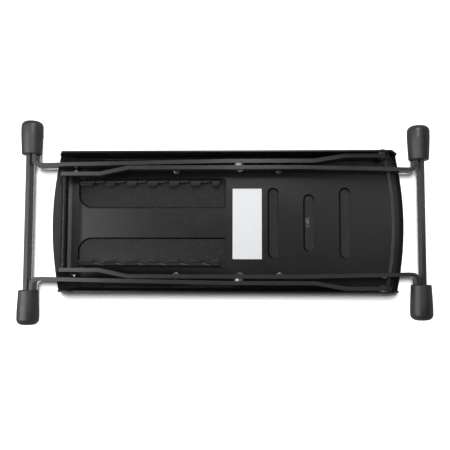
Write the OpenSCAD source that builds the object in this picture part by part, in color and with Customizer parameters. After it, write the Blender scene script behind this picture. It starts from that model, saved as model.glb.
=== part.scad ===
// Folding guitar footrest, seen from its underside: the tread lies on z = 0 and the legs fold flat above it.
// The origin is the middle of the tread. +X runs from the toothed end to the pivot end, left is +Y.

/* [Platform] */
// Length of the platform between the middles of its two curved ends
platform_length = 275.4; // [260:0.2:290]
// Width of the platform over its side flanges
platform_width = 108.4; // [106:0.2:116]
// Thickness of the steel sheet
sheet = 1.2; // [0.8:0.1:1.6]
// Height of the side flanges above the sheet's underside
flange_height = 20; // [18:0.5:26]
// Inside radius of the bend between the sheet and a side flange
bend_radius = 2.5; // [1.5:0.1:3.2]
// Radius of the arc that ends the platform at its toothed end, in plan
front_arc_radius = 310; // [260:1:360]
// Radius of the arc that ends the platform at its pivot end, in plan
rear_arc_radius = 247; // [210:1:290]
// Inside radius of the gently rolled lip at the toothed end
front_lip_radius = 34; // [30:0.5:42]
// Length that the rolled lip takes at the toothed end
front_lip_run = 20.7; // [14:0.1:21.4]
// Length that the raised rim takes at the pivot end
rim_run = 9.6; // [9:0.1:9.8]
// Inside radius of the hollow at the foot of the rim
rim_hollow = 1.6; // [1.4:0.1:2]
// Outside radius of the rim's crest
rim_crest = 1.7; // [1.7:0.1:2]
// Steepest slope of the rim, on its inner side
rim_slope = 58; // [50:1:60]
// Length of the rim's nearly level top
rim_top = 2; // [1.4:0.1:3]
// Outside radius of the rim's fall towards the platform's edge
rim_fall = 11; // [10.5:0.5:16]
// How far each flange's free corner is set back from its foot at the toothed end
front_set_back = 7.2; // [4:0.2:9]
// How far each flange's free corner is set back from its foot at the pivot end
rear_set_back = 9.3; // [6:0.1:10]

/* [Windows and teeth] */
// Distance from the platform's middle to the windows' square end
window_end = 1.5; // [0.5:0.1:4]
// Distance from the midline to the inner edge of each window
window_inner = 11.6; // [8:0.2:16]
// Distance from each flange to the fold line of its tooth row
tooth_fold_inset = 17.9; // [17.7:0.1:19]
// Corner radius at the windows' rounded end
window_corner = 11; // [6:0.5:14]
// Number of height notches in each row
notches = 6; // [4:1:6]
// Distance from the toothed end to the first notch, of the lowest setting
first_notch_setback = 35.9; // [34.5:0.1:40]
// Width of each notch, for the height rod
notch_width = 8.6; // [7:0.1:10]
// Distance from the platform's middle to the notch of the highest setting
last_notch = 16.8; // [16:0.1:19]
// Width of the tooth before the first notch
first_tooth = 12.3; // [8:0.1:12.6]
// Width of the tooth after the last notch
end_tooth = 6.2; // [4:0.1:8]
// Angle of each tooth's blade above the sheet
tooth_angle = 48; // [40:1:70]
// Length of each tooth's blade beyond its fold
tooth_blade = 4.9; // [3:0.1:5.6]
// Inside radius of each tooth's fold
tooth_fold_radius = 2; // [1:0.1:2.4]
// How much narrower each side of a tooth is at its tip
tooth_taper = 0.9; // [0:0.1:1.5]
// Length of the blade at the tall side of each notch's seat
notch_ramp = 1.5; // [1:0.1:2]
// Gap between a seat and the teeth beside it
ramp_gap = 0.4; // [0.3:0.1:0.8]

/* [Slots and label] */
// Width of the three cross slots
slot_width = 8.8; // [6:0.2:12]
// Length of the two outer cross slots
slot_length = 56; // [40:1:66]
// Length of the middle cross slot
middle_slot_length = 45.6; // [30:0.2:60]
// Distance from the sticker's edge to the first slot
slot_margin = 9; // [6:0.5:11]
// Distance from the pivot end to the last slot
last_slot_setback = 45.7; // [40.5:0.1:50]
// Width of the blank sticker
label_width = 23; // [16:0.1:24]
// Length of the blank sticker
label_length = 55.8; // [40:0.2:70]
// Thickness of the blank sticker
label_thickness = 0.2; // [0.1:0.05:0.4]
// Distance from the platform's middle to the sticker's middle
label_place = 15.3; // [14:0.1:17]

/* [Tread mat] */
// Thickness of the mat, ribs included
mat_thickness = 3; // [2.5:0.1:5]
// Depth of the grooves between the tread's ribs
groove_depth = 1; // [0.5:0.1:1.4]
// Width of each groove
groove_width = 2.4; // [1.5:0.1:3]
// Distance from one groove to the next
groove_pitch = 6; // [5:0.2:10]
// Margin between the mat and the platform's sides
mat_margin = 3; // [2.6:0.2:6]
// Plain border round the grooves
mat_border = 6; // [4:0.5:8]
// Margin between the mat and the platform's two ends
mat_end_margin = 7.1; // [6.6:0.1:7.6]
// Corner radius of the mat
mat_corner = 6; // [3:0.5:10]

/* [Mat eyelets] */
// Distance from the platform's ends to the first and last eyelets
eyelet_setback = 15.6; // [15.4:0.1:18]
// Distance from each flange to its row of eyelets
eyelet_inset = 11.4; // [10:0.1:13]
// Outside radius of an eyelet's shank
eyelet_shank = 1.6; // [1.4:0.1:2]
// Radius of an eyelet's through hole
eyelet_hole = 1.1; // [0.8:0.05:1.2]
// Radius of an eyelet's flange on the tread side
eyelet_flange = 3.6; // [3:0.1:4.5]
// Thickness of an eyelet's flange
eyelet_flange_thickness = 0.5; // [0.3:0.1:0.8]
// Depth of an eyelet's flange below the tread
eyelet_recess = 0.7; // [0.4:0.1:1]
// Radius of the rolled rim on the underside
eyelet_roll = 0.6; // [0.4:0.05:0.7]

/* [Leg bars] */
// Thickness of the flat leg bars
bar_thickness = 3; // [2.5:0.1:3.5]
// Depth of the flat leg bars, at right angles to the platform
bar_depth = 10; // [8:0.2:10.4]
// Height of the bars' middle above the sheet's underside
bar_height = 10; // [9.8:0.1:12]
// Centreline distance between the two runs of bar inside a foot
hairpin_pitch = 4.5; // [4:0.1:5.5]
// Centreline radius of the bend into each foot
foot_bend = 4.5; // [3:0.1:6]
// Centreline radius of the joggles
joggle_bend = 14; // [8:0.5:20]

/* [Outer legs] */
// Distance from the pivot end to the platform pivots
pivot_setback = 18; // [16.7:0.1:20]
// Distance from the toothed end to the outer crossbar's middle
outer_crossbar_reach = 18; // [15.5:0.1:24]
// Distance from each flange to the outer arm at its foot
outer_foot_inset = 8.8; // [8.2:0.1:9.2]
// Distance from the pivots to the joggle's near end
outer_joggle_setback = 29.7; // [22:0.1:34]
// Length of the outer arms' joggle
outer_joggle = 23; // [16:0.5:26]
// How far an outer foot's end stands out beyond the platform's side
outer_foot_reach = 25.5; // [22:0.1:32]

/* [Inner legs] */
// Distance from the platform's middle to the scissor rivets
scissor_place = 9.3; // [5:0.1:14]
// Distance from each flange to the inner arm at the scissor rivet
inner_arm_inset = 11; // [10.7:0.1:11.2]
// How far the inner arms are joggled inwards to the height rod
inner_joggle_step = 4.7; // [4:0.1:4.8]
// How far the inner arms close in towards their feet
inner_foot_step = 2.1; // [1:0.1:4]
// Distance from the pivot end to the inner crossbar's middle
inner_crossbar_reach = 11; // [9.3:0.1:18]
// Distance from the height rod to the joggle's near end
inner_joggle_setback = 29; // [24:0.5:32]
// Length of the inner arms' joggle
inner_joggle = 22; // [16:0.5:26]
// How far an inner foot's end stands out beyond the platform's side
inner_foot_reach = 20.3; // [18:0.1:26]

/* [Height rod] */
// Distance from the toothed end to the folded height rod
rod_setback = 9.7; // [8.5:0.1:11.5]
// Radius of the height rod
rod_radius = 2.5; // [2:0.1:2.6]
// Radius of the arm's rounded end about the rod
rod_eye = 2.8; // [2.7:0.1:3.4]
// Radius of the rod's riveted ends
rod_tenon = 1.6; // [1.2:0.1:1.8]
// Radius of the heads on the rod's riveted ends
rod_head = 2.5; // [2:0.1:2.6]
// Height of the heads on the rod's riveted ends
rod_head_height = 1; // [0.6:0.1:1.6]

/* [Rivets] */
// Radius of the pivot and scissor rivets' shanks
rivet_shank = 2.5; // [2:0.1:3]
// Radial running clearance of an arm on its rivet
rivet_clearance = 0.05; // [0.02:0.01:0.1]
// Radius of the pivot rivets' heads inside the arms
pivot_head = 4.05; // [3.6:0.05:4.6]
// Height of the pivot rivets' heads inside the arms
pivot_head_height = 1.9; // [1.2:0.1:2.2]
// Radius of the pivot rivets' heads outside the flanges
pivot_outer_head = 5; // [4.2:0.1:5.4]
// Height of the pivot rivets' heads outside the flanges
pivot_outer_height = 2.3; // [1.4:0.1:2.8]
// Thickness of the washers between the flanges and the outer arms
washer_thickness = 0.5; // [0.3:0.1:0.8]
// Radius of those washers
washer_radius = 4.8; // [4:0.1:5]
// Radius of the scissor rivets' heads
scissor_head = 3.6; // [3.2:0.1:4]
// Height of the scissor rivets' heads
scissor_head_height = 1.6; // [1:0.1:2]
// Thickness of the spacers between the outer and inner arms
spacer_thickness = 1.8; // [1.6:0.1:1.9]
// Radius of those spacers
spacer_radius = 4.6; // [4:0.1:5]
// Running gap between faces that turn on each other
running_gap = 0.1; // [0.05:0.05:0.2]

/* [Rubber feet] */
// Length of a rubber foot
foot_length = 26.7; // [22:0.1:28]
// Largest radius of a rubber foot
foot_radius = 8.5; // [8:0.1:10]
// Radius of a rubber foot at its mouth
foot_mouth = 7.7; // [7.4:0.1:9]
// Radius of the dome's edge at a foot's closed end
foot_dome = 4.5; // [3:0.1:7]
// Rubber left beyond the bar at a foot's closed end
foot_end_wall = 3.7; // [2.5:0.1:6]
// Clearance of the bar inside a rubber foot
foot_clearance = 0.05; // [0.02:0.01:0.1]
// How far a foot's middle stands outward of the bar's two runs
foot_shift = 1; // [0:0.1:1.2]

/* [Hidden] */
$fn = 64;
black = "#1b1b1d";
// Extra reach of a cutting solid past the face that it cuts, and a smaller one
past = 1;
spare = past / 10;

// Levels above the tread
sheet_low = mat_thickness;
sheet_top = sheet_low + sheet;
flange_top = sheet_top + flange_height;
bar_middle = sheet_top + bar_height;

// Platform in plan
half_length = platform_length / 2;
flange_out = platform_width / 2;
flange_in = flange_out - sheet;
flat_half = flange_in - bend_radius;
front_lip_start = -half_length + front_lip_run;
front_arc_middle = front_arc_radius - half_length;
rear_arc_middle = half_length - rear_arc_radius;
front_corner = front_arc_middle - sqrt(pow(front_arc_radius, 2) - pow(flat_half, 2));
rear_corner = rear_arc_middle + sqrt(pow(rear_arc_radius, 2) - pow(flat_half, 2));
rim_foot = rear_arc_radius - rim_run;
rim_tilt = 2;

// Teeth: the notch of the lowest setting comes first
first_notch = first_notch_setback - half_length;
notch_pitch = (-last_notch - first_notch) / (notches - 1);
tooth_fold = flange_in - tooth_fold_inset;
window_start = first_notch - notch_width / 2 - first_tooth - 0.8;
window_stop = -window_end;
tooth_width = notch_pitch - notch_width;
function notch_x(i) = first_notch + i * notch_pitch;
function seat_x(i) = notch_x(i) - notch_width / 2 + ramp_gap;
function tooth_low(i) = i == 0 ? first_notch - notch_width / 2 - first_tooth
    : notch_x(i - 1) + notch_width / 2;
function tooth_wide(i) = i == 0 ? first_tooth : i == notches ? end_tooth : tooth_width;

// Slots, from the sticker to the pivot end
first_slot = label_place + label_width / 2 + slot_margin;
slot_pitch = (half_length - last_slot_setback - first_slot) / 2;

// Places of the legs along the platform
pivot_place = half_length - pivot_setback;
rod_place = half_length - rod_setback;
outer_crossbar = half_length + outer_crossbar_reach;
inner_crossbar = half_length + inner_crossbar_reach;
outer_joggle_end = pivot_place - outer_joggle_setback;
inner_joggle_start = rod_place - inner_joggle_setback;

// Across the platform, from the flange inwards
inner_arm_at_scissor = flange_in - inner_arm_inset;
inner_arm_at_rod = inner_arm_at_scissor - inner_joggle_step;
inner_arm_at_foot = inner_arm_at_scissor - inner_foot_step;
outer_arm_at_foot = flange_in - outer_foot_inset;
outer_foot_end = flange_out + outer_foot_reach;
inner_foot_end = flange_out + inner_foot_reach;
outer_arm_at_pivot = flange_in - washer_thickness - running_gap - bar_thickness / 2;
pivot_head_seat = outer_arm_at_pivot - bar_thickness / 2 - running_gap;
outer_arm_at_scissor = inner_arm_at_scissor + bar_thickness + running_gap + spacer_thickness;
scissor_head_seat = inner_arm_at_scissor - bar_thickness / 2 - running_gap;
rod_middle = bar_middle - bar_depth / 2 + rod_eye;

// Eyelets stand at equal steps between the platform's ends
eyelet_row = flange_in - eyelet_inset;
eyelet_pitch = 2 * (half_length - eyelet_setback) / 3;
eyelet_x = [for (i = [-1.5:1:1.5]) i * eyelet_pitch];
mat_cup = eyelet_recess + eyelet_flange_thickness;

// Small tools for the bent bars
function unit(v) = v / norm(v);
function turned(v, a) = [v[0] * cos(a) - v[1] * sin(a), v[0] * sin(a) + v[1] * cos(a)];
function left_of(v) = [-v[1], v[0]];
function flipped(pts) = [for (i = [len(pts) - 1:-1:0]) [pts[i][0], -pts[i][1], pts[i][2]]];

// Stations round the corner at b, each one a point and its left normal
function bend_stations(a, b, c) =
    let (u = unit([b[0] - a[0], b[1] - a[1]]), w = unit([c[0] - b[0], c[1] - b[1]]),
        angle = acos(max(-1, min(1, u * w))), side = cross(u, w) > 0 ? 1 : -1,
        start = [b[0], b[1]] - u * b[2] * tan(angle / 2),
        arm = -side * b[2] * left_of(u), middle = start - arm,
        steps = max(1, ceil(angle / 12)))
    [for (i = [0:steps]) let (p = turned(arm, side * angle * i / steps)) [middle + p, -side * p / b[2]]];

// Outline of a bar whose centreline runs through corners [x, y, bend radius]
function bar_outline(corners, thickness) =
    let (n = len(corners),
        first = unit([corners[1][0] - corners[0][0], corners[1][1] - corners[0][1]]),
        last = unit([corners[n - 1][0] - corners[n - 2][0], corners[n - 1][1] - corners[n - 2][1]]),
        stations = concat([[[corners[0][0], corners[0][1]], left_of(first)]],
            [for (i = [1:n - 2]) each bend_stations(corners[i - 1], corners[i], corners[i + 1])],
            [[[corners[n - 1][0], corners[n - 1][1]], left_of(last)]]))
    concat([for (s = stations) s[0] + s[1] * thickness / 2],
        [for (i = [len(stations) - 1:-1:0]) stations[i][0] - stations[i][1] * thickness / 2]);

// One leg frame is a single bar: arm, foot, crossbar, foot, arm
module bent_bar(half) {
    translate([0, 0, bar_middle - bar_depth / 2])
        linear_extrude(bar_depth) polygon(bar_outline(concat(half, flipped(half)), bar_thickness));
}

// A shape drawn in x and z, given a length in y about the midline
module across(width) {
    rotate([90, 0, 0]) linear_extrude(width, center = true) children();
}

// A solid made along z, laid on +y and carried out to y = at
module along_y(x, z, at) {
    translate([x, at, z]) rotate([-90, 0, 0]) children();
}

module both_sides() {
    children();
    mirror([0, 1, 0]) children();
}

// Turns a piece to follow the rolled lip where it stands beyond the flat sheet
module on_platform(x) {
    angle = x < front_lip_start ? asin((front_lip_start - x) / (front_lip_radius + sheet)) : 0;
    axis_z = sheet_top + front_lip_radius;
    foot_x = x < front_lip_start ? front_lip_start : x;
    translate([front_lip_start, 0, axis_z]) rotate([0, angle, 0])
        translate([foot_x - front_lip_start, 0, -axis_z]) children();
}

// The room inside the tray, grown outwards by t, in its three directions
module side_room(t) {
    half = flange_in + t;
    radius = bend_radius + t;
    low = sheet_top - t;
    rotate([90, 0, 90]) linear_extrude(2 * platform_length, center = true) {
        translate([-half, low + radius]) square([2 * half, flange_height + t - radius + (t > 0 ? 0 : past)]);
        translate([radius - half, low]) square([2 * (half - radius), radius + past / 2]);
        for (s = [-1, 1]) translate([s * (half - radius), low + radius]) circle(radius);
    }
}

module long_room(t) {
    tall = flange_height + 3 * past;
    across(2 * platform_width) {
        translate([front_lip_start, sheet_top - t]) square([platform_length, tall + t]);
        intersection() {
            translate([front_lip_start, sheet_top + front_lip_radius]) circle(front_lip_radius + t, $fn = 128);
            translate([front_lip_start - front_lip_radius, sheet_top - t])
                square([front_lip_radius + past, tall + t]);
        }
    }
}

// The rim's section: a hollow at its foot, a crest, a nearly level top and a fall to the edge
function arc_points(middle, radius, from, to, steps) = [for (i = [0:steps])
    let (a = from + (to - from) * i / steps) middle + radius * [sin(a), cos(a)]];

module end_room(t) {
    tall = sheet_top + flange_height + 3 * past;
    foot = [rim_foot, sheet_top + rim_hollow];
    crest = foot + (rim_hollow + rim_crest) * [sin(rim_slope), -cos(rim_slope)];
    fall = crest + rim_top * [cos(rim_tilt), -sin(rim_tilt)]
        + (rim_crest - rim_fall) * [sin(rim_tilt), cos(rim_tilt)];
    outline = concat([[0, sheet_top - t]], arc_points(foot, rim_hollow + t, 180, 180 - rim_slope, 5),
        arc_points(crest, rim_crest - t, -rim_slope, rim_tilt, 5),
        arc_points(fall, rim_fall - t, rim_tilt, rim_tilt + 48, 8));
    translate([rear_arc_middle, 0, 0]) rotate_extrude($fn = 256)
        polygon(concat(outline, [[outline[len(outline) - 1][0], tall], [0, tall]]));
}

// The two arcs that trim the platform's ends
module end_arcs() {
    tall = flange_top + 2 * past;
    intersection() {
        translate([front_arc_middle, 0, -past]) cylinder(r = front_arc_radius, h = tall, $fn = 256);
        translate([rear_arc_middle, 0, -past]) cylinder(r = rear_arc_radius, h = tall, $fn = 256);
    }
}

// Slanting cut that sets back the free corners of one flange at one end
module corner_cut(foot, tip) {
    out = foot > 0 ? 1 : -1;
    foot_z = sheet_top + bend_radius;
    for (s = [-1, 1]) translate([0, s * (flat_half + flange_out + past) / 2, 0])
        across(flange_out + past - flat_half)
            polygon([[foot, foot_z], [tip, flange_top + past], [foot + out * 20, flange_top + past],
                [foot + out * 20, foot_z]]);
}

// One window in plan
module window_outline() {
    corner_x = window_start + window_corner;
    corner_y = window_inner + window_corner;
    small = 1.5;
    polygon(concat(
        [for (a = [180:10:270]) [corner_x + window_corner * cos(a), corner_y + window_corner * sin(a)]],
        [for (a = [270:15:360]) [window_stop - small + small * cos(a), window_inner + small + small * sin(a)]],
        [[window_stop, tooth_fold], [window_start, tooth_fold]]));
}

// Points round a tooth's fold at radius r, from the sheet to the blade
fold_steps = ceil(tooth_angle / 10);
function fold_arc(r) = [for (i = [0:fold_steps])
    r * [-sin(tooth_angle * i / fold_steps), -cos(tooth_angle * i / fold_steps)]];

// A tab folded out of the window's edge, trimmed by an outline drawn along its blade
module folded_tab(low, wide, outline) {
    inner = fold_arc(tooth_fold_radius);
    outer = fold_arc(tooth_fold_radius + sheet);
    blade = (tooth_blade + past) * [-cos(tooth_angle), sin(tooth_angle)];
    reach = 2 * tooth_fold_radius + 2 * sheet;
    translate([low, tooth_fold, sheet_top + tooth_fold_radius]) rotate([90, 0, 90]) intersection() {
        linear_extrude(wide) polygon(concat(inner, [inner[fold_steps] + blade, outer[fold_steps] + blade],
            [for (i = [fold_steps:-1:0]) outer[i]]));
        rotate([0, 0, -tooth_angle]) translate([0, reach, 0]) rotate([90, 0, 0]) linear_extrude(2 * reach)
            polygon(concat([[0, -spare], [reach, -spare], [reach, wide + spare], [0, wide + spare]], outline));
    }
}

// One tooth: its tapering blade leans over the window
module tooth(low, wide) {
    folded_tab(low, wide, [[-tooth_blade * 0.8, wide - tooth_taper * 0.6],
        [-tooth_blade, wide - tooth_taper * 1.6], [-tooth_blade, tooth_taper * 1.6],
        [-tooth_blade * 0.8, tooth_taper * 0.6]]);
}

// The low seat of one notch, which falls away from its tall side
module notch_seat(low) {
    wide = notch_width - 2 * ramp_gap;
    folded_tab(low, wide, [[-notch_ramp * 0.3, wide + spare], [-notch_ramp, -spare]]);
}

module slot_outline(length) {
    straight = length - slot_width;
    square([slot_width, straight], center = true);
    for (s = [-1, 1]) translate([0, s * straight / 2]) circle(d = slot_width);
}

module platform_tray() color(black) {
    difference() {
        intersection() {
            side_room(sheet);
            long_room(sheet);
            end_room(sheet);
            end_arcs();
        }
        intersection() {
            side_room(0);
            long_room(0);
            end_room(0);
        }
        corner_cut(front_corner - past, front_corner - past + front_set_back);
        corner_cut(rear_corner + past, rear_corner + past - rear_set_back);
        both_sides() translate([0, 0, sheet_low - past]) linear_extrude(sheet + 2 * past + 2) window_outline();
        for (i = [0:2]) translate([first_slot + i * slot_pitch, 0, sheet_low - past])
            linear_extrude(sheet + 2 * past) slot_outline(i == 1 ? middle_slot_length : slot_length);
        for (x = eyelet_x, s = [-1, 1]) on_platform(x) translate([0, s * eyelet_row, sheet_low - past])
            cylinder(r = eyelet_shank + running_gap / 2, h = sheet + 2 * past);
        both_sides() along_y(pivot_place, bar_middle, flange_in - past) cylinder(r = rivet_shank, h = sheet + 2 * past);
    }
    both_sides() {
        for (i = [0:notches]) tooth(tooth_low(i), tooth_wide(i));
        for (i = [0:notches - 1]) notch_seat(seat_x(i));
    }
}

// The mat's outline in plan, set in from its own edge by m
module mat_outline(m) {
    half = flange_out - mat_margin - m;
    front_reach = front_arc_radius - mat_end_margin - m;
    rear_reach = rear_arc_radius - mat_end_margin - m;
    left_x = front_arc_middle - corner_run(half, front_reach);
    right_x = rear_arc_middle + corner_run(half, rear_reach);
    intersection() {
        translate([front_arc_middle, 0]) circle(front_reach, $fn = 256);
        translate([rear_arc_middle, 0]) circle(rear_reach, $fn = 256);
        union() {
            square([platform_length, 2 * (half - mat_corner)], center = true);
            translate([left_x, -half]) square([right_x - left_x, 2 * half]);
            for (x = [left_x, right_x], s = [-1, 1]) translate([x, s * (half - mat_corner)]) circle(mat_corner);
        }
    }
}

// How far along from an end arc's middle a corner circle touches that arc and the side line
function corner_run(half, reach) = sqrt(pow(reach - mat_corner, 2) - pow(half - mat_corner, 2));

// The layer between two depths below the sheet, following the rolled lip
module under_sheet(low, high) {
    radius = front_lip_radius + sheet + mat_thickness;
    across(platform_width) {
        translate([front_lip_start, low]) square([platform_length, high - low]);
        intersection() {
            translate([front_lip_start, mat_thickness + front_lip_radius + sheet]) difference() {
                circle(radius - low, $fn = 180);
                circle(radius - high, $fn = 180);
            }
            translate([front_lip_start - radius, low]) square([radius, radius / 2]);
        }
    }
}

module tread_mat() color("#222222") {
    groove_count = floor((half_length - mat_end_margin - mat_border - groove_pitch) / groove_pitch);
    front_grooves = floor(-front_lip_start / groove_pitch);
    difference() {
        intersection() {
            under_sheet(0, mat_thickness);
            linear_extrude(flange_top) mat_outline(0);
        }
        intersection() {
            for (i = [-front_grooves:groove_count])
                translate([(i + 0.5) * groove_pitch - groove_width / 2, -platform_width / 2, -past])
                    cube([groove_width, platform_width, groove_depth + past]);
            translate([0, 0, -2 * past]) linear_extrude(groove_depth + 3 * past) mat_outline(mat_border);
        }
        for (x = eyelet_x, s = [-1, 1]) on_platform(x) translate([0, s * eyelet_row, 0]) {
            translate([0, 0, -past]) cylinder(r = eyelet_shank + running_gap / 2, h = mat_thickness + 2 * past);
            translate([0, 0, -past]) cylinder(r = eyelet_flange + running_gap, h = mat_cup + past);
        }
    }
}

module label_sticker() color("white")
    translate([label_place - label_width / 2, -label_length / 2 - 0.7, sheet_top])
        cube([label_width, label_length, label_thickness]);

// One eyelet: a flange under the mat, a tube through mat and sheet, and a rolled rim on the underside,
// which stands a hair proud beside the platform's curved ends
module eyelet(lift) {
    rim = eyelet_shank + eyelet_roll * 0.6;
    rotate_extrude($fn = 48) {
        translate([eyelet_hole, eyelet_recess]) square([eyelet_flange - eyelet_hole, eyelet_flange_thickness]);
        translate([eyelet_hole, eyelet_recess])
            square([eyelet_shank - eyelet_hole, sheet_top - eyelet_recess + eyelet_roll]);
        difference() {
            translate([rim, sheet_top + eyelet_roll]) circle(eyelet_roll + 0.1, $fn = 24);
            translate([0, sheet_top - 2]) square([2 * rim, 2 + lift]);
        }
    }
}

module eyelet_row_of(side) color("#8d8a78")
    for (x = eyelet_x) on_platform(x) translate([0, side * eyelet_row, 0])
        eyelet(abs(x) > eyelet_pitch ? running_gap : 0);
module mat_eyelets_left() eyelet_row_of(1);
module mat_eyelets_right() eyelet_row_of(-1);

// A low domed head, flat side on z = 0
module button_head(radius, height) {
    ball = (pow(radius, 2) + pow(height, 2)) / (2 * height);
    rotate_extrude() intersection() {
        translate([0, height - ball]) circle(ball, $fn = 128);
        square([radius, height]);
    }
}

// A rivet along y: shank from its inner to its outer seat, with a head [radius, height] beyond each
module rivet(x, z, inner, outer, inner_head, outer_head) color("#9a988c") {
    along_y(x, z, inner) cylinder(r = rivet_shank, h = outer - inner);
    along_y(x, z, outer) button_head(outer_head[0], outer_head[1]);
    along_y(x, z, inner) mirror([0, 0, 1]) button_head(inner_head[0], inner_head[1]);
}

module pivot_rivet_left() rivet(pivot_place, bar_middle, pivot_head_seat, flange_out,
    [pivot_head, pivot_head_height], [pivot_outer_head, pivot_outer_height]);
module pivot_rivet_right() mirror([0, 1, 0]) pivot_rivet_left();

module ring(x, z, at, hole, radius, thickness) {
    along_y(x, z, at) difference() {
        cylinder(r = radius, h = thickness);
        translate([0, 0, -past]) cylinder(r = hole, h = thickness + 2 * past);
    }
}

module pivot_washer_left() color("#6f6f6b")
    ring(pivot_place, bar_middle, flange_in - washer_thickness, rivet_shank + running_gap / 2, washer_radius,
        washer_thickness);
module pivot_washer_right() mirror([0, 1, 0]) pivot_washer_left();

module scissor_rivet_left() rivet(scissor_place, bar_middle, scissor_head_seat,
    outer_arm_at_scissor + bar_thickness / 2, [scissor_head, scissor_head_height],
    [scissor_head, scissor_head_height]);
module scissor_rivet_right() mirror([0, 1, 0]) scissor_rivet_left();

module scissor_spacer_left() color("#6f6f6b")
    ring(scissor_place, bar_middle, outer_arm_at_scissor - bar_thickness / 2 - spacer_thickness,
        rivet_shank + running_gap / 2, spacer_radius, spacer_thickness);
module scissor_spacer_right() mirror([0, 1, 0]) scissor_spacer_left();

// Corners of the left half of each leg frame, from its arm's end to its crossbar
outer_leg_x = -(outer_crossbar - hairpin_pitch);
outer_hairpin = outer_foot_end - foot_end_wall - bar_thickness / 2;
outer_half = [[pivot_place, outer_arm_at_pivot, 0], [outer_joggle_end, outer_arm_at_pivot, joggle_bend],
    [outer_joggle_end - outer_joggle, outer_arm_at_scissor, joggle_bend],
    [scissor_place - 2 * spacer_radius, outer_arm_at_scissor, joggle_bend],
    [outer_leg_x, outer_arm_at_foot, foot_bend], [outer_leg_x, outer_hairpin, hairpin_pitch / 2 - 0.01],
    [-outer_crossbar, outer_hairpin, hairpin_pitch / 2 - 0.01]];
inner_leg_x = inner_crossbar - hairpin_pitch;
inner_hairpin = inner_foot_end - foot_end_wall - bar_thickness / 2;
inner_half = [[-rod_place, inner_arm_at_rod, 0], [-inner_joggle_start, inner_arm_at_rod, joggle_bend],
    [inner_joggle - inner_joggle_start, inner_arm_at_scissor, joggle_bend],
    [scissor_place + 10 * spacer_radius, inner_arm_at_scissor, joggle_bend],
    [inner_leg_x, inner_arm_at_foot, foot_bend], [inner_leg_x, inner_hairpin, hairpin_pitch / 2 - 0.01],
    [inner_crossbar, inner_hairpin, hairpin_pitch / 2 - 0.01]];

module outer_leg_frame() color(black) difference() {
    union() {
        bent_bar(outer_half);
        both_sides() along_y(pivot_place, bar_middle, outer_arm_at_pivot - bar_thickness / 2)
            cylinder(r = bar_depth / 2, h = bar_thickness);
    }
    both_sides() {
        along_y(pivot_place, bar_middle, outer_arm_at_pivot - bar_thickness)
            cylinder(r = rivet_shank + rivet_clearance, h = 2 * bar_thickness);
        along_y(scissor_place, bar_middle, outer_arm_at_scissor - bar_thickness)
            cylinder(r = rivet_shank, h = 2 * bar_thickness);
    }
}

module inner_leg_frame() color(black) difference() {
    union() {
        bent_bar(inner_half);
        both_sides() {
            for (z = [rod_middle, bar_middle + bar_depth / 2 - rod_eye])
                along_y(-rod_place, z, inner_arm_at_rod - bar_thickness / 2)
                    cylinder(r = rod_eye, h = bar_thickness);
            translate([-rod_place - rod_eye, inner_arm_at_rod - bar_thickness / 2, rod_middle])
                cube([rod_eye, bar_thickness, bar_depth - 2 * rod_eye]);
        }
    }
    both_sides() {
        along_y(-rod_place, rod_middle, inner_arm_at_rod - bar_thickness)
            cylinder(r = rod_tenon, h = 2 * bar_thickness);
        along_y(scissor_place, bar_middle, inner_arm_at_scissor - bar_thickness)
            cylinder(r = rivet_shank + rivet_clearance, h = 2 * bar_thickness);
    }
}

module height_rod() color("#3a3733") {
    inner_face = inner_arm_at_rod - bar_thickness / 2;
    along_y(-rod_place, rod_middle, -inner_face) cylinder(r = rod_radius, h = 2 * inner_face);
    both_sides() {
        along_y(-rod_place, rod_middle, inner_face) cylinder(r = rod_tenon, h = bar_thickness);
        along_y(-rod_place, rod_middle, inner_face + bar_thickness) button_head(rod_head, rod_head_height);
    }
}

// A rubber cap along +y with its closed end at y = tip, hollow for the bar's two runs
module foot(x, tip, leg_x, bar_x, hairpin) color("#2b2b2b") {
    pocket_x = min(leg_x, bar_x) - bar_thickness / 2 - foot_clearance;
    pocket = abs(leg_x - bar_x) + bar_thickness + 2 * foot_clearance;
    belly = foot_length - foot_dome;
    difference() {
        along_y(x, bar_middle, tip - foot_length) rotate_extrude() {
            polygon([[0, 0], [foot_mouth - 0.6, 0], [foot_mouth, 0.6], [foot_radius, belly * 0.75],
                [foot_radius, belly], [0, belly]]);
            translate([0, belly - 0.01]) square([foot_radius - foot_dome, foot_dome + 0.01]);
            translate([foot_radius - foot_dome, belly]) intersection() {
                circle(foot_dome);
                translate([0, -0.01]) square(foot_dome);
            }
        }
        translate([pocket_x, tip - foot_length - past, bar_middle - bar_depth / 2 - foot_clearance])
            cube([pocket, foot_length - foot_end_wall + foot_clearance + past, bar_depth + 2 * foot_clearance]);
    }
}

module outer_foot_left() foot(-outer_crossbar + hairpin_pitch / 2 - foot_shift, outer_foot_end, outer_leg_x,
    -outer_crossbar, outer_hairpin);
module outer_foot_right() mirror([0, 1, 0]) outer_foot_left();
module inner_foot_left() foot(inner_crossbar - hairpin_pitch / 2 + foot_shift, inner_foot_end, inner_leg_x,
    inner_crossbar, inner_hairpin);
module inner_foot_right() mirror([0, 1, 0]) inner_foot_left();

platform_tray();
tread_mat();
label_sticker();
mat_eyelets_left();
mat_eyelets_right();
pivot_rivet_left();
pivot_rivet_right();
pivot_washer_left();
pivot_washer_right();
outer_leg_frame();
outer_foot_left();
outer_foot_right();
scissor_rivet_left();
scissor_rivet_right();
scissor_spacer_left();
scissor_spacer_right();
inner_leg_frame();
height_rod();
inner_foot_left();
inner_foot_right();
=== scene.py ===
"""A folding guitar footrest, upside down and folded, dressed and lit as in its photograph."""

import math

import bpy
from mathutils import Matrix, Vector

MM = 0.001

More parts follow.
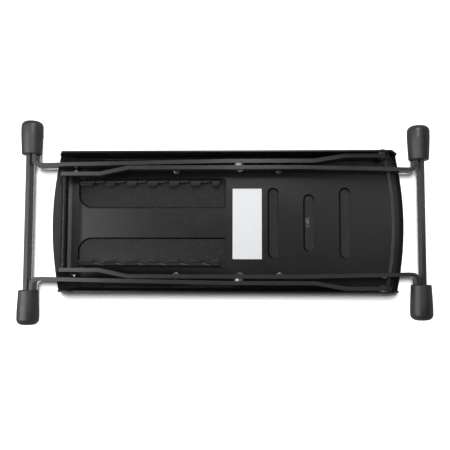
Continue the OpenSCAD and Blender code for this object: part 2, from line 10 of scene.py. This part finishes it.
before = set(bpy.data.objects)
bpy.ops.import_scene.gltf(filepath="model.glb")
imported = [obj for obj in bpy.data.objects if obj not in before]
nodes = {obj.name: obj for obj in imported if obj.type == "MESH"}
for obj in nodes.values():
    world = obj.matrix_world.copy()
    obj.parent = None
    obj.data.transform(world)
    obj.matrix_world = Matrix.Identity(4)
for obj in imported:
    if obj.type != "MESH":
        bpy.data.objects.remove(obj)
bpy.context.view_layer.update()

# Places on the solids that the finishes follow: x along the platform, y across it, z out of its underside

# Each window's rounded corner (its centre and radius) and its end beside the sticker
WINDOW_CORNER = (-108.2 * MM, 22.6 * MM)
WINDOW_RADIUS = 11.2 * MM
WINDOW_END = -1.5 * MM

# The window towards +Y is shaded by its rounded corner alone, from the first of these to the second
WINDOW_SHADE = (-109 * MM, -114 * MM)

# The three slots, of which the middle one is shorter at both ends
FIRST_SLOT = 35.8 * MM
SLOT_PITCH = 28.1 * MM
SLOT_HALF_WIDTH = 4.5 * MM
SLOT_STRAIGHT = 23.6 * MM
MIDDLE_SLOT_SHORTER = 5.2 * MM
SLOT_HALF_START = 10 * MM

# The mat hangs free of the sheet in windows and slots, and leaves its edge within this band
MAT_HANG = 1.8 * MM
MAT_EDGE = 1.5 * MM

# The sheet's face, the tooth rows that stand on it and carry a painted highlight, and the fold line beside
# them, which carries painted shade
SHEET_FACE = (4.9 * MM, 5.2 * MM)
TOOTH_TIP = 8.4 * MM
TOOTH_SIDE = (38.5 * MM, 39 * MM)
FOLD_BAND = (33.4 * MM, 33.8 * MM, 35.6 * MM, 36.2 * MM)
FOLD_LENGTH = (-115 * MM, -114 * MM, -3 * MM, -2 * MM)

# The sheet's soft dip beside the tooth rows, and its roll towards the toothed end
DIP_ACROSS = (35 * MM, 53 * MM)
DIP_ALONG = (-118 * MM, -98 * MM, -44 * MM, 6 * MM)
DIP_DEPTH = 4.8 * MM
DIP_TOP = (7 * MM, 8 * MM)
FACING_UP = (0.93, 0.99)
ROLL_ALONG = (-123 * MM, -115.5 * MM)
ROLL_HEIGHT = 0.75 * MM

# A pale scuff on the mat, in the middle slot
SCUFF_PLACE = (62.7 * MM, 0.8 * MM)
SCUFF_HALF_WIDTH = (0.5 * MM, 1.9 * MM)
SCUFF_HALF_LENGTH = (2.2 * MM, 4.6 * MM)

# The eyelets at the toothed end are coloured black
DARK_EYELETS = (-116 * MM, -115 * MM)

# Colours, as pairs where a finish varies between two
BAR_BLACK = ((0.0300, 0.0300, 0.0312), (0.0380, 0.0380, 0.0397))
SHEET_BLACK = ((0.0075, 0.0075, 0.0078), (0.0092, 0.0092, 0.0097))
COAT_DUST = (0.16, 0.16, 0.155)
TOOTH_PAINTED_HIGHLIGHT = ((0.095, 0.095, 0.10), (0.044, 0.044, 0.046))
FOLD_PAINTED_SHADE = (0.0008, 0.0008, 0.0008)
MAT_CLEAN = ((0.0040, 0.0040, 0.0042), (0.0130, 0.0130, 0.0134))
MAT_PALE_AND_PAINTED_LIGHT = (0.029, 0.029, 0.0305)
MAT_DOTS = (0.066, 0.066, 0.067)
MAT_FIBRES = (0.040, 0.040, 0.040)
MAT_SCUFF = (0.20, 0.20, 0.20)
MAT_SHADE = (0.001, 0.001, 0.001)
FOOT_BLACK = ((0.022, 0.022, 0.0225), (0.033, 0.033, 0.0335))
FOOT_STREAKS = (0.042, 0.0416, 0.0412)
RIVET_ZINC = ((0.36, 0.345, 0.29), (0.16, 0.15, 0.11))
EYELET_ZINC = ((0.40, 0.39, 0.34), (0.15, 0.14, 0.11))
WASHER_ZINC = ((0.33, 0.32, 0.28), (0.19, 0.18, 0.15))
ZINC_STAINS = (0.20, 0.19, 0.13)
EYELET_BLACK = (0.03, 0.03, 0.028)
ROD_STEEL = ((0.006, 0.0055, 0.0045), (0.06, 0.055, 0.035))
STICKER_WHITE = ((0.82, 0.83, 0.85), (0.88, 0.89, 0.91))
FLOOR_WHITE = ((1.56, 1.56, 1.56), (1.60, 1.60, 1.60))


class Graph:
    """A material's node tree, with one short call for each kind of node that the finishes use."""

    def __init__(self, name):
        self.material = bpy.data.materials.new(name)
        self.material.use_nodes = True
        self.tree = self.material.node_tree
        self.shader = self.tree.nodes["Principled BSDF"]
        coordinates = self.tree.nodes.new("ShaderNodeTexCoord")
        self.place = coordinates.outputs["Object"]
        self.facing = coordinates.outputs["Normal"]

    def node(self, kind, **settings):
        made = self.tree.nodes.new(kind)
        for key, value in settings.items():
            setattr(made, key, value)
        return made

    def link(self, source, target):
        self.tree.links.new(source, target)

    def stretched(self, scale=(1, 1, 1), turn=0.0):
        """Object coordinates, scaled along each axis and turned about Z."""
        mapping = self.node("ShaderNodeMapping")
        mapping.inputs["Scale"].default_value = scale
        mapping.inputs["Rotation"].default_value = (0, 0, turn)
        self.link(self.place, mapping.inputs["Vector"])
        return mapping.outputs["Vector"]

    def noise(self, size, detail=3.0, rough=0.5, where=None):
        """Noise whose blobs are about size metres across."""
        made = self.node("ShaderNodeTexNoise")
        made.inputs["Scale"].default_value = 1 / size
        made.inputs["Detail"].default_value = detail
        made.inputs["Roughness"].default_value = rough
        self.link(where or self.place, made.inputs["Vector"])
        return made.outputs["Fac"]

    def cells(self, size, randomness=1.0, where=None):
        """Distance from the nearest of many points about size metres apart, counted in sizes."""
        made = self.node("ShaderNodeTexVoronoi")
        made.inputs["Scale"].default_value = 1 / size
        made.inputs["Randomness"].default_value = randomness
        self.link(where or self.place, made.inputs["Vector"])
        return made.outputs["Distance"]

    def split(self, vector):
        """A vector's three parts, one socket each."""
        made = self.node("ShaderNodeSeparateXYZ")
        self.link(vector, made.inputs["Vector"])
        return made.outputs["X"], made.outputs["Y"], made.outputs["Z"]

    def maths(self, kind, a, b=0.0):
        """One sum of the named kind, on sockets or numbers."""
        made = self.node("ShaderNodeMath", operation=kind)
        for socket, value in zip(made.inputs, (a, b)):
            if isinstance(value, (int, float)):
                socket.default_value = value
            else:
                self.link(value, socket)
        return made.outputs["Value"]

    def times(self, first, *others):
        for other in others:
            first = self.maths("MULTIPLY", first, other)
        return first

    def away(self, value, centre=0.0):
        """How far value lies from centre, on either side."""
        return self.maths("ABSOLUTE", self.maths("SUBTRACT", value, centre))

    def span(self, value, low, high, to_low=0.0, to_high=1.0):
        """value, carried from low..high to to_low..to_high and held there."""
        made = self.node("ShaderNodeMapRange")
        made.inputs["From Min"].default_value = low
        made.inputs["From Max"].default_value = high
        made.inputs["To Min"].default_value = to_low
        made.inputs["To Max"].default_value = to_high
        self.link(value, made.inputs["Value"])
        return made.outputs["Result"]

    def fade(self, value, low, high):
        """1 up to low, falling to 0 at high."""
        return self.span(value, low, high, 1, 0)

    def band(self, value, start, full, fading, end):
        """0 outside start..end and 1 between full and fading."""
        return self.times(self.span(value, start, full), self.fade(value, fading, end))

    def blend(self, factor, first, second):
        """A colour between two, each a tuple or a socket."""
        made = self.node("ShaderNodeMix", data_type="RGBA")
        self.link(factor, made.inputs["Factor"])
        for socket, value in ((made.inputs[6], first), (made.inputs[7], second)):
            if isinstance(value, tuple):
                socket.default_value = (*value, 1)
            else:
                self.link(value, socket)
        return made.outputs[2]

    def corner(self, run, rise):
        """Distance from a corner's centre, counted on its outer side alone."""
        run = self.maths("MAXIMUM", run, 0)
        rise = self.maths("MAXIMUM", rise, 0)
        squares = self.maths("ADD", self.times(run, run), self.times(rise, rise))
        return self.maths("SQRT", squares)

    def bump(self, height, strength, depth, under=None):
        made = self.node("ShaderNodeBump")
        made.inputs["Strength"].default_value = strength
        made.inputs["Distance"].default_value = depth
        self.link(height, made.inputs["Height"])
        if under:
            self.link(under, made.inputs["Normal"])
        return made.outputs["Normal"]

    def finish(self, colour, rough, normal, **constants):
        for socket, source in (("Base Color", colour), ("Roughness", rough), ("Normal", normal)):
            if source is not None:
                self.link(source, self.shader.inputs[socket])
        for socket, value in constants.items():
            self.shader.inputs[socket.replace("_", " ")].default_value = value
        return self.material


# Finishes


def powder_coat(g, blacks, gloss):
    """Satin black coating: fine orange peel, faint clouds, and a few pale specks of dust."""
    clouds = g.span(g.noise(70 * MM, 2), 0.3, 0.7)
    specks = g.span(g.cells(3.2 * MM), 0.05, 0.035)
    rare = g.span(g.noise(6 * MM, 2), 0.6, 0.68)
    colour = g.blend(g.times(specks, rare), g.blend(clouds, *blacks), COAT_DUST)
    rough = g.span(g.noise(9 * MM, 4), 0.3, 0.75, gloss - 0.03, gloss + 0.04)
    peel = g.bump(g.noise(1.1 * MM, 2), 0.22, 0.06 * MM)
    return colour, rough, g.bump(g.noise(0.35 * MM, 1), 0.25, 0.03 * MM, peel)


def bar_coat():
    g = Graph("bar_finish")
    colour, rough, grain = powder_coat(g, BAR_BLACK, gloss=0.26)
    return g.finish(colour, rough, grain, Specular_IOR_Level=0.32)


def sheet_coat():
    """The coating on the platform, with a painted highlight that makes its teeth paler, palest at their foot,
    and painted shade in the folds beside them.
    """
    g = Graph("sheet_finish")
    colour, rough, grain = powder_coat(g, SHEET_BLACK, gloss=0.35)
    x, y, z = g.split(g.place)
    aside = g.away(y)

    # Painted highlight: the teeth are painted far paler than the sheet, palest where they rise from it, as
    # light falls on them
    rows = g.times(g.fade(x, 0, 1 * MM), g.fade(aside, *TOOTH_SIDE), g.span(z, *SHEET_FACE))
    pale_and_painted_light = g.blend(g.span(z, SHEET_FACE[1], TOOTH_TIP), *TOOTH_PAINTED_HIGHLIGHT)
    colour = g.blend(rows, colour, pale_and_painted_light)

    # Painted shade: a black band along each tooth row's fold line, where shade falls beside the teeth
    fold = g.times(g.band(aside, *FOLD_BAND), g.band(x, *FOLD_LENGTH), g.fade(z, *SHEET_FACE))
    colour = g.blend(fold, colour, FOLD_PAINTED_SHADE)
    rough = g.maths("MAXIMUM", rough, fold)

    dip = g.times(g.span(aside, *DIP_ACROSS, 0, -1), g.band(x, *DIP_ALONG))
    pressed = g.bump(dip, 1.0, DIP_DEPTH, grain)
    # The dip stays off the flanges, their edges and the rims
    upward = g.span(g.split(g.facing)[2], *FACING_UP)
    g.link(g.times(upward, g.fade(z, *DIP_TOP)), pressed.node.inputs["Strength"])

    roll = g.fade(x, *ROLL_ALONG)
    roll.node.interpolation_type = "SMOOTHSTEP"
    shaped = g.bump(roll, 1.0, ROLL_HEIGHT, pressed)
    return g.finish(colour, rough, shaped, Specular_IOR_Level=0.4)


def window_edge(g, x, y):
    """The edge of both windows over the mat, 1 under the sheet and 0 in the open, and its shaded part."""
    centre_x, centre_y = WINDOW_CORNER
    run = g.maths("SUBTRACT", centre_x, x)
    rise = g.maths("SUBTRACT", centre_y, g.away(y))
    curve = g.span(g.corner(run, rise), WINDOW_RADIUS - MAT_EDGE, WINDOW_RADIUS)
    edge = g.maths("MAXIMUM", curve, g.span(x, WINDOW_END - MAT_EDGE, WINDOW_END))
    shaded = g.maths("MAXIMUM", g.maths("LESS_THAN", y, 0), g.span(x, *WINDOW_SHADE))
    return edge, g.times(curve, shaded)


def slot_edge(g, x, y):
    """The same for the three slots, which are shaded towards the sticker and at the end towards +Y."""
    shifted = g.maths("SUBTRACT", x, FIRST_SLOT - SLOT_PITCH / 2)
    local = g.maths("SUBTRACT", g.maths("FLOORED_MODULO", shifted, SLOT_PITCH), SLOT_PITCH / 2)
    middle = g.maths("LESS_THAN", g.away(x, FIRST_SLOT + SLOT_PITCH), SLOT_PITCH / 2)
    straight = g.maths("SUBTRACT", SLOT_STRAIGHT, g.times(middle, MIDDLE_SLOT_SHORTER))
    beyond = g.maths("SUBTRACT", g.away(y), straight)
    across = g.corner(g.away(local), beyond)
    edge = g.span(across, SLOT_HALF_WIDTH - MAT_EDGE, SLOT_HALF_WIDTH)
    top = g.times(g.maths("GREATER_THAN", y, 0), g.maths("GREATER_THAN", beyond, 0))
    return edge, g.times(edge, g.maths("MAXIMUM", g.maths("LESS_THAN", local, 0), top))


def sheet_over_mat(g, x, y):
    """Where the mat touches the sheet's edges, and where they shade it, in its windows and its slots."""
    slots = g.maths("GREATER_THAN", x, SLOT_HALF_START)
    windows = g.maths("SUBTRACT", 1, slots)
    return [
        g.maths("ADD", g.times(window, windows), g.times(slot, slots))
        for window, slot in zip(window_edge(g, x, y), slot_edge(g, x, y))
    ]


def mat_rubber():
    """Black rubber with a slanted grid of small raised dots, dusty in soft patches, with a painted pool of
    light in the windows towards the toothed end and −Y, and paler in the slots towards the pivot end.
    """
    g = Graph("tread_rubber_finish")
    x, y, _ = g.split(g.place)
    grid = g.stretched(turn=math.radians(45))
    dots = g.fade(g.cells(2.1 * MM, randomness=0.3, where=grid), 0.15, 0.55)
    patches = g.span(g.noise(16 * MM, 4, 0.6), 0.42, 0.62)
    fibres = g.noise(0.6 * MM, 3, 0.7)

    # Painted light: the mat in the windows is painted paler towards the toothed end and −Y, where light
    # falls; in the slots it grows paler towards the pivot end
    painted_window_light = g.times(g.span(x, -110 * MM, -10 * MM, 1.2, 0.3), g.fade(y, -30 * MM, 10 * MM))
    paler_slots = g.span(x, 10 * MM, 95 * MM, 0.35, 1.0)
    pale_and_painted_light = g.maths("MAXIMUM", painted_window_light, paler_slots)
    colour = g.blend(pale_and_painted_light, g.blend(patches, *MAT_CLEAN), MAT_PALE_AND_PAINTED_LIGHT)
    colour = g.blend(g.times(dots, 0.34), colour, MAT_DOTS)
    colour = g.blend(g.span(fibres, 0.5, 0.8, 0.0, 0.4), colour, MAT_FIBRES)

    scuffed_x = g.fade(g.away(x, SCUFF_PLACE[0]), *SCUFF_HALF_WIDTH)
    scuffed_y = g.fade(g.away(y, SCUFF_PLACE[1]), *SCUFF_HALF_LENGTH)
    ragged = g.span(g.noise(1.7 * MM, 3, 0.6), 0.47, 0.56)
    colour = g.blend(g.times(scuffed_x, scuffed_y, ragged), colour, MAT_SCUFF)

    edge, shade = sheet_over_mat(g, x, y)
    colour = g.blend(g.span(shade, 0, 0.6), colour, MAT_SHADE)
    rough = g.maths("MAXIMUM", g.span(patches, 0, 1, 0.55, 0.7), shade)
    relief = g.bump(edge, 1.0, MAT_HANG, g.bump(dots, 0.7, 0.3 * MM))
    weave = g.bump(fibres, 0.5, 0.12 * MM, relief)
    return g.finish(colour, rough, weave, Specular_IOR_Level=0.2)


def foot_rubber():
    """Moulded rubber: matte grey-black, slightly chalky, finely pitted."""
    g = Graph("foot_rubber_finish")
    bloom = g.span(g.noise(14 * MM, 4, 0.6), 0.35, 0.7)
    streaks = g.noise(4 * MM, 3, 0.6, where=g.stretched((1, 0.18, 1)))
    colour = g.blend(g.span(streaks, 0.5, 0.8, 0.0, 0.5), g.blend(bloom, *FOOT_BLACK), FOOT_STREAKS)
    rough = g.span(bloom, 0, 1, 0.38, 0.5)
    pits = g.bump(g.noise(0.5 * MM, 2), 0.3, 0.08 * MM)
    lumps = g.bump(g.noise(5 * MM, 2), 0.25, 0.3 * MM, pits)
    return g.finish(colour, rough, lumps, Specular_IOR_Level=0.65)


def plated_steel(name, zinc, dark_end=False):
    """Zinc plating: patchy silver with a warm tint; dark_end colours what lies at the toothed end black."""
    g = Graph(name)
    patches = g.span(g.noise(1.6 * MM, 4, 0.6), 0.35, 0.65)
    stains = g.span(g.noise(0.7 * MM, 3, 0.7), 0.55, 0.75)
    colour = g.blend(stains, g.blend(patches, *zinc), ZINC_STAINS)
    if dark_end:
        x = g.split(g.place)[0]
        colour = g.blend(g.fade(x, *DARK_EYELETS), colour, EYELET_BLACK)
    rough = g.span(g.noise(1.0 * MM, 3), 0.3, 0.7, 0.28, 0.5)
    dents = g.bump(g.noise(0.4 * MM, 2), 0.3, 0.05 * MM)
    return g.finish(colour, rough, dents, Metallic=1.0)


def worn_rod():
    """Blackened steel rod, rubbed through to olive steel in small specks."""
    g = Graph("rod_finish")
    specks = g.span(g.noise(0.9 * MM, 4, 0.75), 0.5, 0.62)
    colour = g.blend(specks, *ROD_STEEL)
    rough = g.span(specks, 0, 1, 0.38, 0.3)
    return g.finish(colour, rough, g.bump(g.noise(0.5 * MM, 3), 0.4, 0.06 * MM), Metallic=0.75)


def sticker_paper():
    g = Graph("sticker_finish")
    fibres = g.noise(0.8 * MM, 4, 0.7, where=g.stretched((1, 0.3, 1)))
    colour = g.blend(g.span(fibres, 0.3, 0.7), *STICKER_WHITE)
    rough = g.span(fibres, 0.3, 0.7, 0.45, 0.6)
    return g.finish(colour, rough, g.bump(fibres, 0.1, 0.02 * MM))


def floor_paper():
    g = Graph("floor_finish")
    tone = g.blend(g.noise(300 * MM, 2), *FLOOR_WHITE)
    grain = g.bump(g.noise(2 * MM, 2), 0.05, 0.05 * MM)
    return g.finish(tone, None, grain, Roughness=0.9)


def dress(material, *names):
    """Gives the material to every slot of the named nodes."""
    for name in names:
        if not nodes[name].material_slots:
            nodes[name].data.materials.append(material)
        for slot in nodes[name].material_slots:
            slot.material = material


def sides(*names):
    """The left and the right node of each name."""
    return [f"{name}_{side}" for name in names for side in ("left", "right")]


dress(sheet_coat(), "platform_tray")
dress(bar_coat(), "outer_leg_frame", "inner_leg_frame")
dress(mat_rubber(), "tread_mat")
dress(foot_rubber(), *sides("outer_foot", "inner_foot"))
dress(plated_steel("rivet_finish", RIVET_ZINC), *sides("pivot_rivet", "scissor_rivet"))
dress(plated_steel("eyelet_finish", EYELET_ZINC, dark_end=True), *sides("mat_eyelets"))
dress(plated_steel("washer_finish", WASHER_ZINC), *sides("pivot_washer", "scissor_spacer"))
dress(worn_rod(), "height_rod")
dress(sticker_paper(), "label_sticker")


# Studio

# The camera stands almost straight above the folded footrest
CAMERA_PLACE = Vector((13.10, -34.29, 471.08)) * MM
CAMERA_TILT = (math.radians(4.002), math.radians(1.870), math.radians(0.163))
FOCAL_PIXELS = 591.975
IMAGE_PIXELS = 450

# The floor lies just under the tread, so that the two faces don't flicker
FLOOR_SIDE = 3.0
FLOOR_LEVEL = -0.3 * MM

# The room's brightness: the height of a direction, and the strength that comes from there
ROOM_LEVELS = [(-0.3, 0.30), (0.0, 0.40), (0.3, 0.12), (0.75, 0.07), (0.97, 0.04)]


def add_camera():
    data = bpy.data.cameras.new("camera")
    data.sensor_width = 36
    data.lens = FOCAL_PIXELS / IMAGE_PIXELS * data.sensor_width
    data.clip_start = 0.01
    camera = bpy.data.objects.new("camera", data)
    bpy.context.scene.collection.objects.link(camera)
    turns = [Matrix.Rotation(angle, 4, axis) for angle, axis in zip(CAMERA_TILT, "XYZ")]
    camera.matrix_world = Matrix.Translation(CAMERA_PLACE) @ turns[2] @ turns[1] @ turns[0]
    bpy.context.scene.camera = camera


def add_floor():
    mesh = bpy.data.meshes.new("floor")
    corners = [
        (x * FLOOR_SIDE, y * FLOOR_SIDE, FLOOR_LEVEL)
        for x, y in ((-1, -1), (1, -1), (1, 1), (-1, 1))
    ]
    mesh.from_pydata(corners, [], [(0, 1, 2, 3)])
    mesh.materials.append(floor_paper())
    floor = bpy.data.objects.new("floor", mesh)
    bpy.context.scene.collection.objects.link(floor)
    floor.visible_glossy = False
    return floor


def collect(name, things):
    made = bpy.data.collections.new(name)
    for thing in things:
        made.objects.link(thing)
    return made


def add_softbox(name, place, target, size, power, lit, blockers=()):
    """A rectangular light that shines on lit alone; where blockers are given, only they cast its shadows."""
    data = bpy.data.lights.new(name, "AREA")
    data.shape = "RECTANGLE"
    data.size, data.size_y = size
    data.energy = power
    light = bpy.data.objects.new(name, data)
    bpy.context.scene.collection.objects.link(light)
    aim = (Vector(target) - Vector(place)).to_track_quat("-Z", "Y")
    light.matrix_world = Matrix.Translation(place) @ aim.to_matrix().to_4x4()
    light.light_linking.receiver_collection = collect(name + "_lights", lit)
    if blockers:
        light.light_linking.blocker_collection = collect(name + "_shades", blockers)


def set_world():
    """A white room whose brightness goes softly from one of ROOM_LEVELS to the next."""
    world = bpy.data.worlds.new("studio")
    world.use_nodes = True
    tree = world.node_tree
    direction = tree.nodes.new("ShaderNodeSeparateXYZ")
    tree.links.new(tree.nodes.new("ShaderNodeTexCoord").outputs["Generated"], direction.inputs["Vector"])
    start = tree.nodes.new("ShaderNodeValue")
    start.outputs["Value"].default_value = ROOM_LEVELS[0][1]
    total = start.outputs["Value"]
    for (low, before), (high, after) in zip(ROOM_LEVELS, ROOM_LEVELS[1:]):
        step = tree.nodes.new("ShaderNodeMapRange")
        step.interpolation_type = "SMOOTHSTEP"
        step.inputs["From Min"].default_value = low
        step.inputs["From Max"].default_value = high
        step.inputs["To Min"].default_value = 0.0
        step.inputs["To Max"].default_value = after - before
        tree.links.new(direction.outputs["Z"], step.inputs["Value"])
        add = tree.nodes.new("ShaderNodeMath")
        tree.links.new(total, add.inputs[0])
        tree.links.new(step.outputs["Result"], add.inputs[1])
        total = add.outputs["Value"]
    background = tree.nodes["Background"]
    background.inputs["Color"].default_value = (1, 1, 1, 1)
    tree.links.new(total, background.inputs["Strength"])
    bpy.context.scene.world = world


add_camera()
floor = add_floor()
set_world()

product = list(nodes.values())
steel = [nodes[name] for name in ("platform_tray", "outer_leg_frame", "inner_leg_frame", "tread_mat")]
add_softbox("floor_softbox", (-0.06, 0.18, 1.0), (0, 0, 0), (0.3, 0.3), 10.0, [floor], blockers=steel)
add_softbox("key_softbox", (0.02, 0.29, 0.43), (0, 0, 0), (0.12, 0.30), 1.55, product)
add_softbox("left_softbox", (-0.37, -0.02, 0.33), (-0.04, 0, 0), (0.3, 0.46), 1.7, product)
add_softbox("right_softbox", (0.25, 0.06, 0.46), (0.06, 0, 0), (0.08, 0.2), 0.13, product)
bpy.context.scene.view_settings.view_transform = "Standard"
